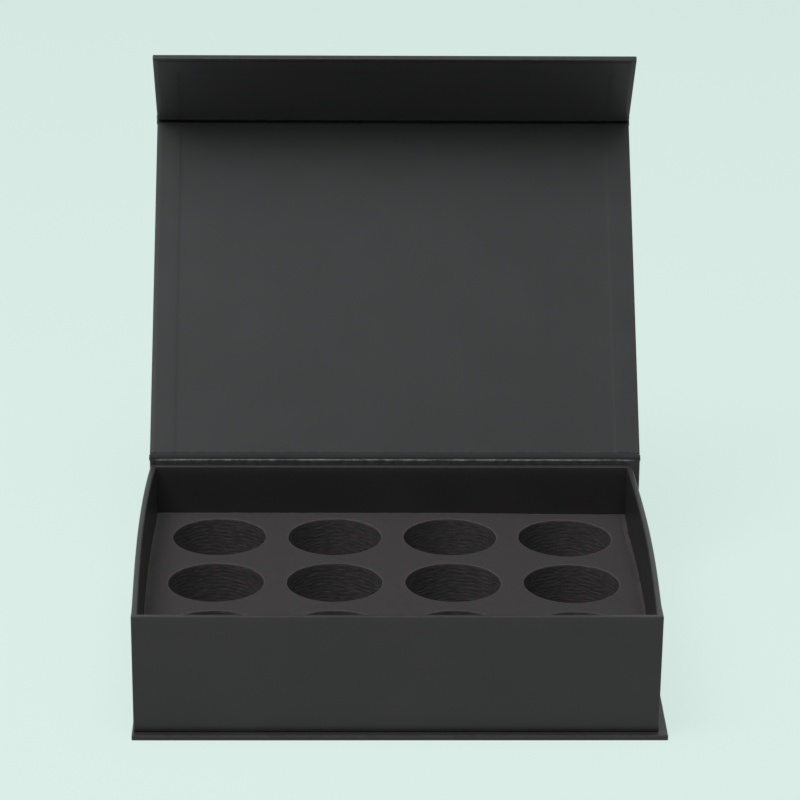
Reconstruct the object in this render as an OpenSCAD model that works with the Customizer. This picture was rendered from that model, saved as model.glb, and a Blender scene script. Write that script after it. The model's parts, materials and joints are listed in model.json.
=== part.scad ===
// Rigid gift box for twelve golf balls, shown open and empty.
// A book-style case of four wrapped boards carries a glued-in tray with a foam insert.
// Millimetres, +Z up, X across the width, front towards -Y.
// The origin is the middle of the case's footprint, on the surface it stands on.

/* [Case] */
// Width of the case's panels
case_w = 231; // [226:1:290]
// How far the base reaches out in front of the tray
lip = 3.5; // [3.4:0.1:8]
// Thickness of the case's greyboard
board_t = 2; // [1.5:0.1:3]
// Thickness of the wrapping and lining papers
paper_t = 0.2; // [0.15:0.01:0.22]
// Width of the wrap's turn-in inside the panels' edges
turn_in = 11.7; // [6:0.1:20]
// Bare border between a panel's side edge and its lining
side_border = 2.4; // [1:0.1:5]
// Bare border between the flap's free end and its lining
end_border = 2; // [1:0.1:5]
// How far the folded paper stands out past the panels at a crease
crease_ear = 0.4; // [0:0.1:1]

/* [Tray] */
// Width of the tray over its wrap, at the corners
tray_w = 226.4; // [224:0.2:226.8]
// Depth of the tray over its wrap
tray_d = 174; // [172:1:240]
// Height of the tray
tray_h = 54.4; // [48:0.2:90]
// Thickness of the tray's greyboard
tray_board_t = 2; // [1.5:0.1:3]
// Thickness of the tray's wrap with its glue
tray_wrap_t = 0.35; // [0.3:0.01:0.5]
// How far to the right the tray is glued, less than nothing to the left
tray_shift = -1.6; // [-2:0.1:2]
// How far the left wall's rim bows out
bow_left = 2.2; // [0:0.1:2.4]
// How far the right wall's rim bows out
bow_right = 2.1; // [0:0.1:2.4]
// Where the left bow is widest, as a part of the depth from the rear
bow_peak_left = 0.4; // [0.3:0.05:0.7]
// Where the right bow is widest, as a part of the depth from the rear
bow_peak_right = 0.5; // [0.3:0.05:0.7]
// How far the wrap is turned down inside the walls
inner_turn = 30; // [12:1:40]
// How far the wrap is turned under the floor
under_turn = 15; // [8:1:30]
// Length of each leg of a corner stay tape
tape_leg = 18; // [10:1:30]
// Thickness of the stay tape
tape_t = 0.15; // [0.1:0.01:0.2]

/* [Lid and flap] */
// Opening of the lid from closed, as it stands in the photo
lid_open = 133.1; // [110:0.1:165]
// Fold of the flap from flat, as it stands in the photo
flap_fold = 83.7; // [20:0.1:95]
// Depth of the crease axes inside the panels' outer faces
crease_in = 0.5; // [0.46:0.01:0.6]
// Clearance between the closed lid's rear end and the spine
lid_gap = 0.15; // [0.12:0.01:0.5]
// Clearance between the closed lid and the tray's rim
lid_seat = 0.05; // [0.02:0.01:0.3]
// Clearance between the closed flap and the tray's front
flap_gap = 0.5; // [0.3:0.1:0.7]
// Clearance between the closed flap's free end and the base
flap_lift = 1.2; // [0.8:0.1:4]
// How far the spine's top stands below the closed lid's outer face
spine_drop = 0.15; // [0.1:0.01:0.3]

/* [Foam insert] */
// Diameter of a ball's pocket
pocket_d = 43; // [38:0.5:46]
// Pockets across the width
pocket_cols = 4; // [1:1:4]
// Pockets from front to rear
pocket_rows = 3; // [1:1:3]
// Spacing of the pockets across the width
pitch_x = 53.5; // [48:0.5:56]
// Spacing of the pockets from front to rear
pitch_y = 52.5; // [48:0.5:56]
// How far the pockets sit to the rear of the tray's middle
pockets_back = 2.1; // [-3:0.1:4]
// Height of the foam
foam_h = 29; // [20:0.5:32]
// Clearance between the foam and the tray's walls
foam_gap = 0.1; // [0.05:0.05:1]

/* [Magnets] */
// Diameter of a magnet
magnet_d = 10; // [6:0.5:14]
// Clearance around a magnet in its board
magnet_gap = 0.1; // [0.05:0.05:0.3]
// Distance between the two magnets of a pair
magnet_spread = 140; // [60:1:180]
// Height of the closed magnets above the table
magnet_z = 20; // [14:0.5:24]

/* [Hidden] */

cut = 1;               // how far a cutting shape runs past what it cuts
wall_steps = 12;       // straight stretches along a bowed wall
bulge_reach = 6;       // how far a bulge's slab runs into the tray, and past its top and bottom
bulge_root = 0.02;     // how deep a bulge's ends start inside the wall
crease_steps = 8;      // straight stretches round the flap's crease
crease_tail = 1;       // how far the lid's crease paper runs down the spine
lining_step = 0.4;     // overlap of the lining's two levels at the turn-in's edge

// Layers of a panel
sheet_t = board_t + 2 * paper_t;
panel_t = sheet_t + paper_t;

// Front to rear
case_d = lip + tray_d + panel_t;
front_y = -case_d / 2;
tray_front = front_y + lip;
tray_rear = tray_front + tray_d;
spine_out = tray_rear + panel_t;
spine_turn = spine_out - sheet_t;

// Heights
rim_z = sheet_t + tray_h;
lid_top = rim_z + lid_seat + panel_t;
spine_top = lid_top - spine_drop;
spine_board_top = spine_top - paper_t;

// Crease axes, and the panels' ends as distances from them
hinge_y = spine_out - crease_in;
hinge_z = lid_top - crease_in;
lid_start = hinge_y - tray_rear + lid_gap;
lid_end = hinge_y - tray_front;
flap_axis = lid_end + flap_gap + panel_t - crease_in;
flap_start = flap_axis - lid_end;
flap_end = hinge_z - sheet_t - flap_lift;

// Inside the tray
floor_z = sheet_t + tray_wrap_t + tray_board_t;
foam_z = floor_z + paper_t;
wall_t = tray_wrap_t + tray_board_t;
lined_wall_t = wall_t + paper_t;

// Colours
black_paper = [0.13, 0.13, 0.135];
black_lining = [0.16, 0.16, 0.165];
grey_board = [0.55, 0.53, 0.50];
black_foam = [0.10, 0.10, 0.10];
brown_tape = [0.62, 0.50, 0.36];
nickel = [0.75, 0.75, 0.76];

// A box from its two opposite corners
module span(low, high) {
    translate(low) cube(high - low);
}

// A front-to-rear profile run across the width, centred on x = 0
module across(width) {
    rotate([90, 0, 90]) linear_extrude(width, center = true) children();
}

// The lid's own frame: Y along the lid from its crease axis, Z to its inner side
module on_lid() {
    translate([0, hinge_y, hinge_z]) rotate([180 - lid_open, 0, 0]) children();
}

// The flap's own frame, laid out like the lid's
module on_flap() {
    on_lid() translate([0, flap_axis, 0]) rotate([flap_fold, 0, 0]) children();
}

// Greyboard of a hinged panel, short of the lining that covers its ends
module panel_board(start, end, end_paper) {
    half = case_w / 2 - paper_t;
    low = paper_t - crease_in;
    span([-half, start + paper_t, low], [half, end - end_paper, low + board_t]);
}

// Wrap of a hinged panel: outer sheet, edges and turn-ins
module panel_wrap(start, end, end_turn) {
    half = case_w / 2;
    difference() {
        span([-half, start, -crease_in], [half, end, sheet_t - crease_in]);
        span(
            [paper_t - half, start - cut, paper_t - crease_in],
            [half - paper_t, end_turn > 0 ? end - paper_t : end + cut, sheet_t - paper_t - crease_in]
        );
        span(
            [turn_in - half, start - cut, paper_t - crease_in],
            [half - turn_in, end_turn > 0 ? end - end_turn : end + cut, sheet_t - crease_in + cut]
        );
    }
}

// Lining of a hinged panel: it lies on the turn-ins, steps down onto the board and covers bare ends
module panel_lining(start, end, end_turn) {
    half = case_w / 2 - side_border;
    inner = case_w / 2 - turn_in;
    level = sheet_t - crease_in;
    edge = end_turn > 0 ? end - end_border : end;
    well = end_turn > 0 ? end - end_turn : end;
    difference() {
        span([-half, start, level], [half, edge, level + paper_t]);
        span(
            [lining_step - inner, start + lining_step, level - cut],
            [inner - lining_step, well - lining_step, level + paper_t + cut]
        );
    }
    span([-inner, start, level - paper_t], [inner, well, level]);
    lining_end(start, inner);
    if (end_turn == 0) lining_end(end - paper_t, inner);
}

// The lining's fold down a panel's bare end, onto the crease
module lining_end(place, inner) {
    half = case_w / 2 - paper_t;
    span([-inner, place, paper_t - crease_in], [inner, place + paper_t, sheet_t - crease_in]);
    span([-half, place, paper_t - crease_in], [half, place + paper_t, sheet_t - paper_t - crease_in]);
}

// Base panel's board
module base_board() {
    half = case_w / 2 - paper_t;
    color(grey_board)
        span([-half, front_y + paper_t, paper_t], [half, tray_rear, paper_t + board_t]);
}

// Spine's board, standing behind the tray
module spine_board() {
    half = case_w / 2 - paper_t;
    color(grey_board)
        span([-half, spine_turn + paper_t, sheet_t], [half, spine_out - paper_t, spine_board_top]);
}

// Section through the base and spine with their papers, round the bottom rear corner
module case_section() {
    translate([front_y, 0]) square([spine_turn - front_y, sheet_t]);
    translate([spine_turn, sheet_t]) square([sheet_t, spine_board_top - sheet_t]);
    corner_quarter(sheet_t);
}

// The rounded bottom rear corner, of a given radius
module corner_quarter(radius) {
    translate([spine_turn, sheet_t]) intersection() {
        circle(radius, $fn = 64);
        translate([0, -radius]) square(radius);
    }
}

// Room inside the wrap for the boards and the empty corner between them
module case_core() {
    translate([front_y + paper_t, paper_t]) square([spine_turn - front_y - paper_t, board_t]);
    translate([tray_rear, paper_t]) square([spine_turn - tray_rear, sheet_t]);
    translate([spine_turn + paper_t, sheet_t]) square([board_t, spine_board_top + cut - sheet_t]);
    // open to the rear above the outer sheet's end
    translate([spine_turn + paper_t, hinge_z - crease_tail]) square([sheet_t, crease_tail + crease_in + cut]);
    corner_quarter(sheet_t - paper_t);
}

// One sheet under the base and up the spine, turned in at the front and sides
module case_wrap() {
    half = case_w / 2;
    inner = half - turn_in;
    mid_board = paper_t + board_t / 2;
    color(black_paper) difference() {
        across(case_w) case_section();
        across(case_w - 2 * paper_t) case_core();
        // no turn-in over the middle of the base, nor of the spine
        span([-inner, front_y + turn_in, mid_board], [inner, spine_turn + mid_board, sheet_t + cut]);
        span([-inner, spine_turn - cut, mid_board], [inner, spine_turn + mid_board, spine_top]);
        // the outer sheet goes on as the lid's crease
        span([-half - cut, spine_out - paper_t, hinge_z - crease_tail], [half + cut, spine_out + cut, lid_top]);
    }
}

// Lining of the spine: behind the tray, up past its rim and over the board's top
module spine_lining() {
    half = case_w / 2 - side_border;
    inner = case_w / 2 - turn_in;
    color(black_lining) {
        difference() {
            span([-half, tray_rear, sheet_t], [half, spine_turn, spine_top]);
            span(
                [lining_step - inner, tray_rear - cut, sheet_t + lining_step],
                [inner - lining_step, spine_turn + cut, spine_board_top - lining_step]
            );
        }
        span([-inner, spine_turn, sheet_t], [inner, spine_turn + paper_t, spine_top]);
        span([-half, tray_rear, spine_board_top], [half, spine_out - paper_t, spine_top]);
    }
}

// How far a side wall's rim stands out at a part of the depth, 0 at the rear and 1 at the front
function bow(size, peak, part) = size * sin(180 * pow(part, ln(0.5) / ln(peak)));

// A side wall's bulge: a bowed slab that leans outwards, so that it leaves the wall low and is widest at the rim
module bulge(side, size, peak, inset) {
    parts = [for (i = [0 : wall_steps]) i / wall_steps];
    outline = [for (t = parts) [bow(size, peak, t) - bulge_root, tray_rear - t * tray_d]];
    lean = atan(size / tray_h);
    mirror([side > 0 ? 0 : 1, 0, 0])
        translate([tray_w / 2 - inset - size, 0, sheet_t]) rotate([0, lean, 0])
            translate([0, 0, -bulge_reach]) linear_extrude(tray_h + 2 * bulge_reach)
                polygon(concat([[-bulge_reach, tray_rear]], outline, [[-bulge_reach, tray_front]]));
}

// The tray's bowed shape, set in from its outside, between two heights
module tray_block(inset, low, high) {
    half = tray_w / 2 - inset;
    intersection() {
        translate([tray_shift, 0, 0]) {
            span([-half, tray_front, low], [half, tray_rear, high]);
            if (bow_right > 0) bulge(1, bow_right, bow_peak_right, inset);
            if (bow_left > 0) bulge(-1, bow_left, bow_peak_left, inset);
        }
        span([-tray_w, tray_front + inset, low], [tray_w, tray_rear - inset, high]);
    }
}

// Places of the magnets: side is -1 or 1
module at_front_wall(side) {
    translate([side * magnet_spread / 2, tray_front + tray_wrap_t, magnet_z]) rotate([-90, 0, 0]) children();
}

// Folded greyboard of the tray: floor and four walls
module tray_board() {
    color(grey_board) difference() {
        tray_block(tray_wrap_t, sheet_t + tray_wrap_t, rim_z - tray_wrap_t);
        tray_block(wall_t, floor_z, rim_z + cut);
        for (side = [-1, 1])
            at_front_wall(side) translate([0, 0, -cut])
                cylinder(h = tray_board_t + 2 * cut, d = magnet_d + 2 * magnet_gap, $fn = 64);
    }
}

// A square post round one upright corner of the tray
module corner_post(side, end) {
    x = tray_shift + side * (tray_w / 2 - tape_leg);
    y = end > 0 ? tray_rear - tape_leg : tray_front + tape_leg;
    reach = tape_leg + max(bow_left, bow_right) + cut;
    translate([side > 0 ? x : x - reach, end > 0 ? y : y - reach, 0]) cube([reach, reach, rim_z]);
}

// A stay tape round one upright corner of the tray's board
module corner_tape(side, end) {
    low = sheet_t + tray_wrap_t;
    high = rim_z - tray_wrap_t;
    color(brown_tape) difference() {
        intersection() {
            tray_block(tray_wrap_t - tape_t, low, high);
            corner_post(side, end);
        }
        tray_block(tray_wrap_t, low - cut, high + cut);
    }
}

// One sheet round the tray: outside, over the rim, down inside and under the floor
module tray_wrap() {
    window_w = tray_w / 2 - under_turn;
    low = sheet_t + tray_wrap_t;
    high = rim_z - tray_wrap_t;
    color(black_paper) difference() {
        union() {
            difference() {
                tray_block(0, sheet_t, rim_z);
                tray_block(tray_wrap_t, low, high);
                intersection() {
                    tray_block(tray_wrap_t - tape_t, low, high);
                    for (side = [-1, 1], end = [-1, 1]) corner_post(side, end);
                }
            }
            tray_block(wall_t, rim_z - inner_turn, rim_z - tray_wrap_t / 2);
        }
        tray_block(lined_wall_t, rim_z - inner_turn - cut, rim_z + cut);
        span(
            [tray_shift - window_w, tray_front + under_turn, sheet_t - cut],
            [tray_shift + window_w, tray_rear - under_turn, low]
        );
    }
}

// Black sheet on the tray's floor, seen at the bottom of the pockets
module tray_floor_lining() {
    half = tray_w / 2 - wall_t - foam_gap;
    inset = wall_t + foam_gap;
    color(black_lining) span(
        [tray_shift - half, tray_front + inset, floor_z],
        [tray_shift + half, tray_rear - inset, foam_z]
    );
}

// Foam block with a straight pocket through it for each ball
module foam_insert() {
    half = tray_w / 2 - lined_wall_t - foam_gap;
    inset = lined_wall_t + foam_gap;
    middle = (tray_front + tray_rear) / 2 + pockets_back;
    color(black_foam) difference() {
        span(
            [tray_shift - half, tray_front + inset, foam_z],
            [tray_shift + half, tray_rear - inset, foam_z + foam_h]
        );
        for (i = [0 : pocket_cols - 1], j = [0 : pocket_rows - 1])
            translate([
                tray_shift + (i - (pocket_cols - 1) / 2) * pitch_x,
                middle + (j - (pocket_rows - 1) / 2) * pitch_y,
                foam_z - cut
            ]) cylinder(h = foam_h + 2 * cut, d = pocket_d, $fn = 96);
    }
}

// A disc magnet in the tray's front wall
module tray_magnet(side) {
    color(nickel) at_front_wall(side) cylinder(h = tray_board_t, d = magnet_d, $fn = 64);
}

// Section of one ply of the lid's crease, between two depths inside the outer faces
// It comes up the spine's outer face, or starts on the spine's edge, and runs to the lid's rear end
module lid_crease_section(outer, inner, tail) {
    lean = lid_open - 90;
    run = [sin(lean), cos(lean)];
    out = [cos(lean), -sin(lean)];
    bend = tan(lean / 2);
    edge = tail > 0
        ? [[inner, -inner * bend], [inner, -tail], [outer, -tail]]
        : [[outer, (outer * cos(lean) - inner) / sin(lean)]];
    polygon(concat(
        [[outer, -outer * bend], outer * out + lid_start * run, inner * out + lid_start * run],
        edge
    ));
}

// The wrap's stretch from the spine to the lid
module lid_crease_wrap() {
    color(black_paper) translate([0, hinge_y, hinge_z]) across(case_w + 2 * crease_ear)
        lid_crease_section(crease_in, crease_in - paper_t, crease_tail);
}

// The lining's stretch from the spine to the lid
module lid_crease_lining() {
    color(black_lining) translate([0, hinge_y, hinge_z]) across(case_w - 2 * side_border)
        lid_crease_section(crease_in - paper_t, crease_in - 2 * paper_t, 0);
}

// Section of one ply of the flap's crease, bent evenly round its axis
module flap_crease_section(outer, inner) {
    turns = [for (i = [0 : crease_steps]) flap_fold * i / crease_steps];
    run = [cos(flap_fold), sin(flap_fold)];
    out = [sin(flap_fold), -cos(flap_fold)];
    polygon(concat(
        [[-flap_start, -outer]],
        [for (a = turns) outer * [sin(a), -cos(a)]],
        [outer * out + flap_start * run, inner * out + flap_start * run],
        [for (i = [crease_steps : -1 : 0]) inner * [sin(turns[i]), -cos(turns[i])]],
        [[-flap_start, -inner]]
    ));
}

// The wrap's stretch from the lid to the flap
module flap_crease_wrap() {
    color(black_paper) on_lid() translate([0, flap_axis, 0]) across(case_w + 2 * crease_ear)
        flap_crease_section(crease_in, crease_in - paper_t);
}

// The lining's stretch from the lid to the flap
module flap_crease_lining() {
    color(black_lining) on_lid() translate([0, flap_axis, 0]) across(case_w - 2 * side_border)
        flap_crease_section(crease_in - paper_t, crease_in - 2 * paper_t);
}

// Lid's board, wrap and lining
module lid_board() {
    color(grey_board) on_lid() panel_board(lid_start, lid_end, paper_t);
}

module lid_wrap() {
    color(black_paper) on_lid() panel_wrap(lid_start, lid_end, 0);
}

module lid_lining() {
    color(black_lining) on_lid() panel_lining(lid_start, lid_end, 0);
}

// A magnet's place in the flap, across from the tray's when the box is closed
module at_flap(side) {
    on_flap() translate([side * magnet_spread / 2, hinge_z - magnet_z, paper_t - crease_in]) children();
}

// Flap's board, wrap and lining
module flap_board() {
    color(grey_board) difference() {
        on_flap() panel_board(flap_start, flap_end, paper_t);
        for (side = [-1, 1])
            at_flap(side) translate([0, 0, -cut])
                cylinder(h = board_t + 2 * cut, d = magnet_d + 2 * magnet_gap, $fn = 64);
    }
}

module flap_wrap() {
    color(black_paper) on_flap() panel_wrap(flap_start, flap_end, turn_in);
}

module flap_lining() {
    color(black_lining) on_flap() panel_lining(flap_start, flap_end, turn_in);
}

// A disc magnet in the flap's board
module flap_magnet(side) {
    color(nickel) at_flap(side) cylinder(h = board_t, d = magnet_d, $fn = 64);
}

base_board();
spine_board();
case_wrap();
spine_lining();
tray_board();
corner_tape(-1, -1);  // corner_tape_1
corner_tape(1, -1);  // corner_tape_2
corner_tape(-1, 1);  // corner_tape_3
corner_tape(1, 1);  // corner_tape_4
tray_wrap();
tray_floor_lining();
foam_insert();
tray_magnet(-1);  // tray_magnet_1
tray_magnet(1);  // tray_magnet_2
lid_crease_wrap();
lid_crease_lining();
lid_board();
lid_wrap();
lid_lining();
flap_crease_wrap();
flap_crease_lining();
flap_board();
flap_wrap();
flap_lining();
flap_magnet(-1);  // flap_magnet_1
flap_magnet(1);  // flap_magnet_2
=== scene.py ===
import json
import math

import bmesh
import bpy
from mathutils import Matrix, Vector, noise


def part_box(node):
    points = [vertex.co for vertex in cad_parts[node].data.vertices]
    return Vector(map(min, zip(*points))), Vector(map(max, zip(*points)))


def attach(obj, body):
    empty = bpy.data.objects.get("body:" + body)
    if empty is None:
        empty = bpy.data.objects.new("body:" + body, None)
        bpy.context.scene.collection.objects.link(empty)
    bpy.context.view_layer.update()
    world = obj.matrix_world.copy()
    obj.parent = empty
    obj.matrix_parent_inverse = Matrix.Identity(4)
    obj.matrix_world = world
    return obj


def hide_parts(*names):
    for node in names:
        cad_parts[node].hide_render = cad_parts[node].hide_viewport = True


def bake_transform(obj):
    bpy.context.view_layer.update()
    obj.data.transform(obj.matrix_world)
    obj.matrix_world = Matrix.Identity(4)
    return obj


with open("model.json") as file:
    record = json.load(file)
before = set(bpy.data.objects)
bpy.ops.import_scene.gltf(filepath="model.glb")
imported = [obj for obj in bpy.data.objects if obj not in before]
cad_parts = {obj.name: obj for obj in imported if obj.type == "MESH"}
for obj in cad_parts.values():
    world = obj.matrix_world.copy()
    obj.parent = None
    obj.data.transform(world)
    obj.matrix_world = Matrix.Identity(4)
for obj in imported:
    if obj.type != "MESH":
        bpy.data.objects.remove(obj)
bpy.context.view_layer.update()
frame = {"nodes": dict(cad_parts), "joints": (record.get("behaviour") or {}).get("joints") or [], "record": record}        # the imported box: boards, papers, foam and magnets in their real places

cadNodes = frame["nodes"]
mm = 0.001
print("frame loaded:", len(cadNodes), "nodes")


# Places taken from the frame

def jointNamed(name):
    return next(j for j in frame["joints"] if j["name"] == name)


def turned(run, inward, angle):
    # a panel's two directions after it has turned about its crease
    c, s = math.cos(angle), math.sin(angle)
    return run * c + inward * s, inward * c - run * s


def reach(nodeName, point, direction):
    # how far a node reaches along a direction, from a point
    places = [(v.co - point).dot(direction) for v in cadNodes[nodeName].data.vertices]
    return min(places), max(places)


lidPoint = Vector(jointNamed("lid_hinge")["pos_m"])
flapPoint = Vector(jointNamed("flap_hinge")["pos_m"])
# the lid's turn is from upright, and less than nothing leans back
lidTurn = math.radians(jointNamed("lid_hinge")["range_deg"][0] + 90)
flapTurn = math.radians(-jointNamed("flap_hinge")["range_deg"][0])
spineRun, spineIn = Vector((0, 0, 1)), Vector((0, -1, 0))
lidRun, lidIn = turned(spineRun, spineIn, lidTurn)
flapRun, flapIn = turned(lidRun, lidIn, flapTurn)

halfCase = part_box("case_wrap")[1].x
lidStart, lidEnd = reach("lid_wrap", lidPoint, lidRun)
flapStart, flapEnd = reach("flap_wrap", flapPoint, flapRun)
flapAxis = (flapPoint - lidPoint).dot(lidRun)
outerDepth, innerDepth = reach("lid_wrap", lidPoint, lidIn)      # a panel's faces, from its crease axis
panelDepth = innerDepth - outerDepth
trayLow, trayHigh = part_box("tray_wrap")
caseLow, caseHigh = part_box("case_wrap")
spineTurnY = caseHigh.y - panelDepth


def onLid(x, along, depth):
    return Vector((x, 0, 0)) + lidPoint + lidRun * along + lidIn * (outerDepth + depth)


def onFlap(x, along, depth):
    return Vector((x, 0, 0)) + flapPoint + flapRun * along + flapIn * (outerDepth + depth)


def onSpine(x, along, depth):
    return Vector((x, caseHigh.y - depth, lidPoint.z + along))


# The camera

cameraSetup = {
    "target": (0.437, 0.45, 122.505),   # mm
    "azimuth": -1.075,                  # degrees
    "elevation": 20.787,
    "roll": 0.462,
    "distance": 1571.242,               # mm
    "lens": 159.988,
    "sensor": 36,
    "clip": (0.05, 80),                 # metres
}


def makeCamera(s):
    azimuth, elevation, roll = (math.radians(s[k]) for k in ("azimuth", "elevation", "roll"))
    level = math.cos(elevation)
    back = Vector((math.sin(azimuth) * level, -math.cos(azimuth) * level, math.sin(elevation)))
    right = (-back).cross(Vector((0, 0, 1))).normalized()
    up = right.cross(-back)
    rolledRight = right * math.cos(roll) + up * math.sin(roll)
    rolledUp = up * math.cos(roll) - right * math.sin(roll)
    data = bpy.data.cameras.new("boxCamera")
    data.lens, data.sensor_width = s["lens"], s["sensor"]
    data.clip_start, data.clip_end = s["clip"]
    camera = bpy.data.objects.new("boxCamera", data)
    bpy.context.scene.collection.objects.link(camera)
    turn = Matrix((rolledRight, rolledUp, back)).transposed().to_4x4()
    camera.matrix_world = Matrix.Translation((Vector(s["target"]) + back * s["distance"]) * mm) @ turn
    bpy.context.scene.camera = camera


makeCamera(cameraSetup)
print("camera placed")


# Small tools for materials

def startMaterial(name):
    material = bpy.data.materials.new(name)
    material.use_nodes = True
    tree = material.node_tree
    coords = tree.nodes.new("ShaderNodeTexCoord").outputs["Object"]
    return material, tree, tree.nodes["Principled BSDF"], coords


def stretchedCoords(tree, coords, scale):
    node = tree.nodes.new("ShaderNodeMapping")
    node.inputs["Scale"].default_value = scale
    tree.links.new(coords, node.inputs["Vector"])
    return node.outputs["Vector"]


def noiseOf(tree, coords, scale, detail=2.0, rough=0.5):
    node = tree.nodes.new("ShaderNodeTexNoise")
    node.inputs["Scale"].default_value = scale
    node.inputs["Detail"].default_value = detail
    node.inputs["Roughness"].default_value = rough
    tree.links.new(coords, node.inputs["Vector"])
    return node.outputs["Fac"]


def cellsOf(tree, coords, scale):
    node = tree.nodes.new("ShaderNodeTexVoronoi")
    node.inputs["Scale"].default_value = scale
    tree.links.new(coords, node.inputs["Vector"])
    return node.outputs["Distance"]


def rangeOf(tree, value, low, high, newLow, newHigh):
    node = tree.nodes.new("ShaderNodeMapRange")
    for key, number in (("From Min", low), ("From Max", high), ("To Min", newLow), ("To Max", newHigh)):
        node.inputs[key].default_value = number
    tree.links.new(value, node.inputs["Value"])
    return node.outputs["Result"]


def product(tree, a, b):
    node = tree.nodes.new("ShaderNodeMath")
    node.operation = "MULTIPLY"
    tree.links.new(a, node.inputs[0])
    tree.links.new(b, node.inputs[1])
    return node.outputs[0]


def colorMix(tree, factor, a, b):
    # a and b are colours, or sockets
    node = tree.nodes.new("ShaderNodeMix")
    node.data_type = "RGBA"
    tree.links.new(factor, node.inputs[0])
    for socket, value in ((node.inputs[6], a), (node.inputs[7], b)):
        if isinstance(value, tuple):
            socket.default_value = (*value, 1)
        else:
            tree.links.new(value, socket)
    return node.outputs[2]


def bumpOf(tree, height, depth, before=None):
    node = tree.nodes.new("ShaderNodeBump")
    node.inputs["Strength"].default_value = 1
    node.inputs["Distance"].default_value = depth
    tree.links.new(height, node.inputs["Height"])
    if before:
        tree.links.new(before, node.inputs["Normal"])
    return node.outputs["Normal"]


# Coated black papers, inside and outside

coatedPaper = {
    "mottleScale": 38,         # scales are per metre
    "speckScale": 2600,
    "rubAndGlintScale": 330,
    "scuffScale": (14, 40, 40),
    "waveScale": 22,
}
wrapFinish = {
    **coatedPaper,
    "dark": (0.0300, 0.0270, 0.0277),
    "light": (0.0335, 0.0302, 0.0309),
    # lighter colour at the folds: rubbed coat, and a painted glint along the folded edges
    "wornAndGlint": (0.120, 0.114, 0.113),
    "rough": (0.37, 0.42),
    "sheen": 0.32,
    "grainScale": 1500,
    "grainDepth": 0.012 * mm,
    "fibreScale": (260, 2100, 2100),
    "fibreDepth": 0.008 * mm,
    "waveDepth": 0.035 * mm,
}
liningFinish = {
    **coatedPaper,
    "dark": (0.0295, 0.0284, 0.0298),
    "light": (0.0325, 0.0314, 0.0330),
    # bright fold colour of the lining: rubbed coat, and a painted glint along folded edges such as the
    # spine's top
    "wornAndGlint": (0.200, 0.196, 0.198),
    "rough": (0.46, 0.51),
    "sheen": 0.31,
    "grainScale": 1900,
    "grainDepth": 0.010 * mm,
    "fibreScale": (2300, 300, 300),
    "fibreDepth": 0.008 * mm,
    "waveDepth": 0.03 * mm,
}


def paperMaterial(name, s):
    material, tree, surface, coords = startMaterial(name)
    mottle = noiseOf(tree, coords, s["mottleScale"], 4, 0.6)
    speck = noiseOf(tree, coords, s["speckScale"], 2)
    color = colorMix(tree, rangeOf(tree, mottle, 0.35, 0.65, 0, 1), s["dark"], s["light"])
    # the paper's coat is rubbed at the folds, and the lighter fold colour is also a painted glint along the
    # folded edges, broken into dashes by the noise
    fold = tree.nodes.new("ShaderNodeAttribute")
    fold.attribute_name = "foldWearAndGlint"
    patchy = rangeOf(tree, noiseOf(tree, coords, s["rubAndGlintScale"], 4, 0.7), 0.42, 0.58, 0.1, 1)
    rubbedAndGlint = product(tree, fold.outputs["Fac"], patchy)
    color = colorMix(tree, rubbedAndGlint, color, s["wornAndGlint"])
    tree.links.new(color, surface.inputs["Base Color"])
    scuff = noiseOf(tree, stretchedCoords(tree, coords, s["scuffScale"]), 1, 5, 0.7)
    tree.links.new(rangeOf(tree, scuff, 0.3, 0.7, *s["rough"]), surface.inputs["Roughness"])
    fibre = noiseOf(tree, stretchedCoords(tree, coords, s["fibreScale"]), 1, 2)
    normal = bumpOf(tree, noiseOf(tree, coords, s["waveScale"], 2), s["waveDepth"])
    normal = bumpOf(tree, noiseOf(tree, coords, s["grainScale"], 3, 0.6), s["grainDepth"], normal)
    normal = bumpOf(tree, fibre, s["fibreDepth"], normal)
    normal = bumpOf(tree, speck, s["grainDepth"] * 0.4, normal)
    tree.links.new(normal, surface.inputs["Normal"])
    surface.inputs["Specular IOR Level"].default_value = s["sheen"]
    return material


# Closed-cell foam, cut with a rough edge

foamFinish = {
    "dark": (0.0410, 0.0382, 0.0386),
    "light": (0.0590, 0.0550, 0.0552),
    # lighter colour of the cutter's streaks, a painted highlight along the ripples
    "streakHighlight": (0.118, 0.110, 0.111),
    "streakScale": (210, 210, 1700),      # long across, fine in height
    "streakDepth": 0.13 * mm,
    "edge": (0.098, 0.092, 0.092),
    "cellScale": 3400,         # per metre
    "cellDepth": 0.05 * mm,
    "grainScale": 1500,
    "grainDepth": 0.035 * mm,
    "patchScale": 60,
    "rough": (0.96, 0.82),     # in a cell's middle and at its edge
    "sheen": 0.12,
}


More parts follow.
